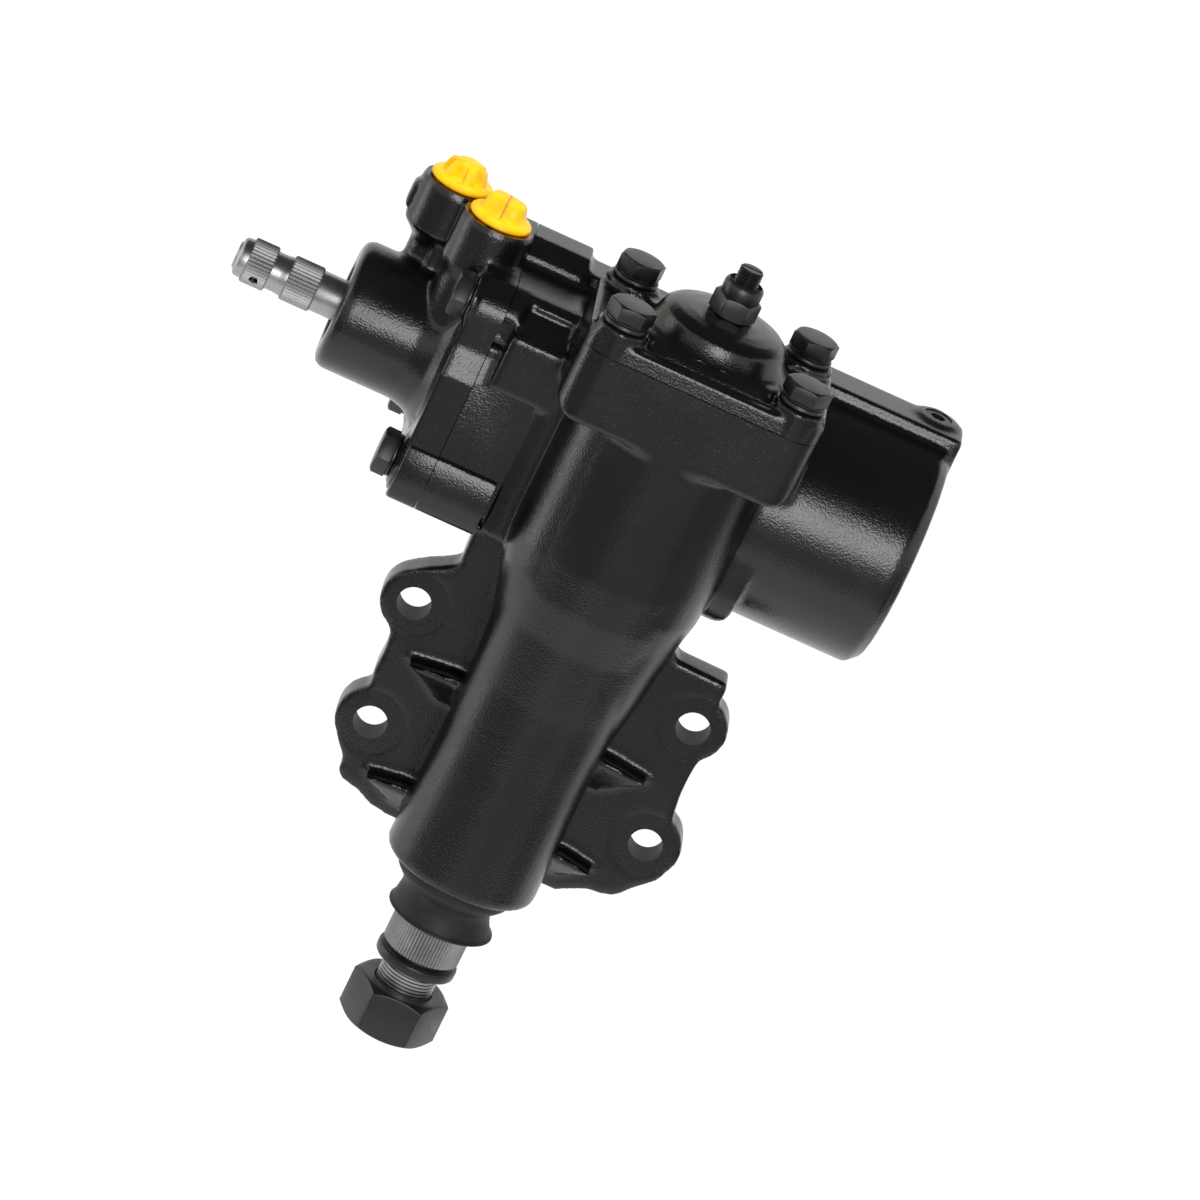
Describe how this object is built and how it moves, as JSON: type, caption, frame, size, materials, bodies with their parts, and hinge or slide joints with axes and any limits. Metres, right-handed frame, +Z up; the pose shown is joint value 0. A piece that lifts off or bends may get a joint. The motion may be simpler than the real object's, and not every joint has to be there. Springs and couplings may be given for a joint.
{
  "type": "power steering gear",
  "caption": "Hydraulic recirculating-ball steering gear with a rack piston, a sector output shaft, a splined input shaft and lugs for frame bolts.",
  "frame": {"origin": "middle of the serration on the output shaft, on its axis", "axes": "+Z up the output shaft towards the side cover, +X along the worm towards the barrel's closed end, so the input shaft points to -X; +Y back through the ears to the vehicle's frame"},
  "size_m": [0.2925, 0.1388, 0.3557],
  "materials": {
    "black_casting": "semi-gloss black paint over a cast skin",
    "black_steel": "black coated",
    "steel": "ground",
    "bright_steel": "bright turned",
    "rubber": "matt",
    "bronze": "turned",
    "ring_plastic": "matt",
    "yellow_plastic": "moulded"
  },
  "bodies": {
    "housing": {"gear_housing": "black_casting", "valve_housing": "black_casting", "side_cover": "black_casting", "valve_housing_seal": "rubber", "side_cover_seal": "rubber", "valve_housing_bolts": "black_steel", "side_cover_bolts": "black_steel", "side_cover_washers": "black_steel", "gallery_plug": "black_steel", "adjuster_locknut": "black_steel", "upper_bush": "bronze", "middle_bearing": "steel", "lower_bearing": "steel", "shaft_oil_seal": "rubber", "seal_retaining_ring": "black_steel", "dust_boot": "rubber", "worm_bearing_outer_race": "steel", "worm_bearing_balls": "bright_steel", "bearing_ring_nut": "black_steel", "input_bearing": "steel", "input_oil_seal": "rubber", "seal_clip": "black_steel", "port_seats": "bronze"},
    "sector": {"sector_shaft": "steel", "screw_retainer": "steel"},
    "nut_set": {"lock_washer": "black_steel", "arm_nut": "black_steel"},
    "rack": {"rack_piston": "steel", "piston_ring": "ring_plastic", "circuit_balls": "bright_steel", "return_guide": "steel", "guide_clamp": "steel", "guide_clamp_screws": "black_steel"},
    "worm": {"worm_shaft": "steel", "worm_bearing_inner_race": "steel", "valve_sleeve": "steel", "sleeve_rings": "ring_plastic", "sleeve_pin": "steel"},
    "input": {"input_shaft": "bright_steel", "torsion_bar": "steel", "torsion_pin": "steel"},
    "adjuster": {"adjusting_screw": "black_steel"},
    "pressure_plug": {"pressure_port_plug": "yellow_plastic"},
    "return_plug": {"return_port_plug": "yellow_plastic"}
  },
  "joints": [
    {"name": "sector_turn", "type": "hinge", "parent": "housing", "child": "sector", "pos_m": [0, 0, 0.2095], "axis": [0, 0, 1], "range_deg": [-43, 43]},
    {"name": "rack_travel", "type": "slide", "parent": "housing", "child": "rack", "axis": [1, 0, 0], "range_m": [-0.0196, 0.0196]},
    {"name": "worm_turn", "type": "hinge", "parent": "housing", "child": "worm", "pos_m": [0, 0.05, 0.2095], "axis": [1, 0, 0], "range_deg": [-740, 740]},
    {"name": "input_twist", "type": "hinge", "parent": "worm", "child": "input", "pos_m": [0, 0.05, 0.2095], "axis": [1, 0, 0], "range_deg": [-4, 4], "stiffness_Nm_per_rad": 80},
    {"name": "adjuster_turn", "type": "hinge", "parent": "housing", "child": "adjuster", "pos_m": [0, 0, 0.2095], "axis": [0, 0, 1], "range_deg": [-180, 180]},
    {"name": "arm_nut_off", "type": "slide", "parent": "sector", "child": "nut_set", "axis": [0, 0, -1], "range_m": [0, 0.08]},
    {"name": "pressure_plug_pull", "type": "slide", "parent": "housing", "child": "pressure_plug", "axis": [0, 0, 1], "range_m": [0, 0.018]},
    {"name": "return_plug_pull", "type": "slide", "parent": "housing", "child": "return_plug", "axis": [0, 0, 1], "range_m": [0, 0.018]}
  ],
  "couplings": [
    {"joint": "rack_travel", "follows": "sector_turn", "m_per_rad": -0.026},
    {"joint": "worm_turn", "follows": "sector_turn", "ratio": 17.196}
  ]
}
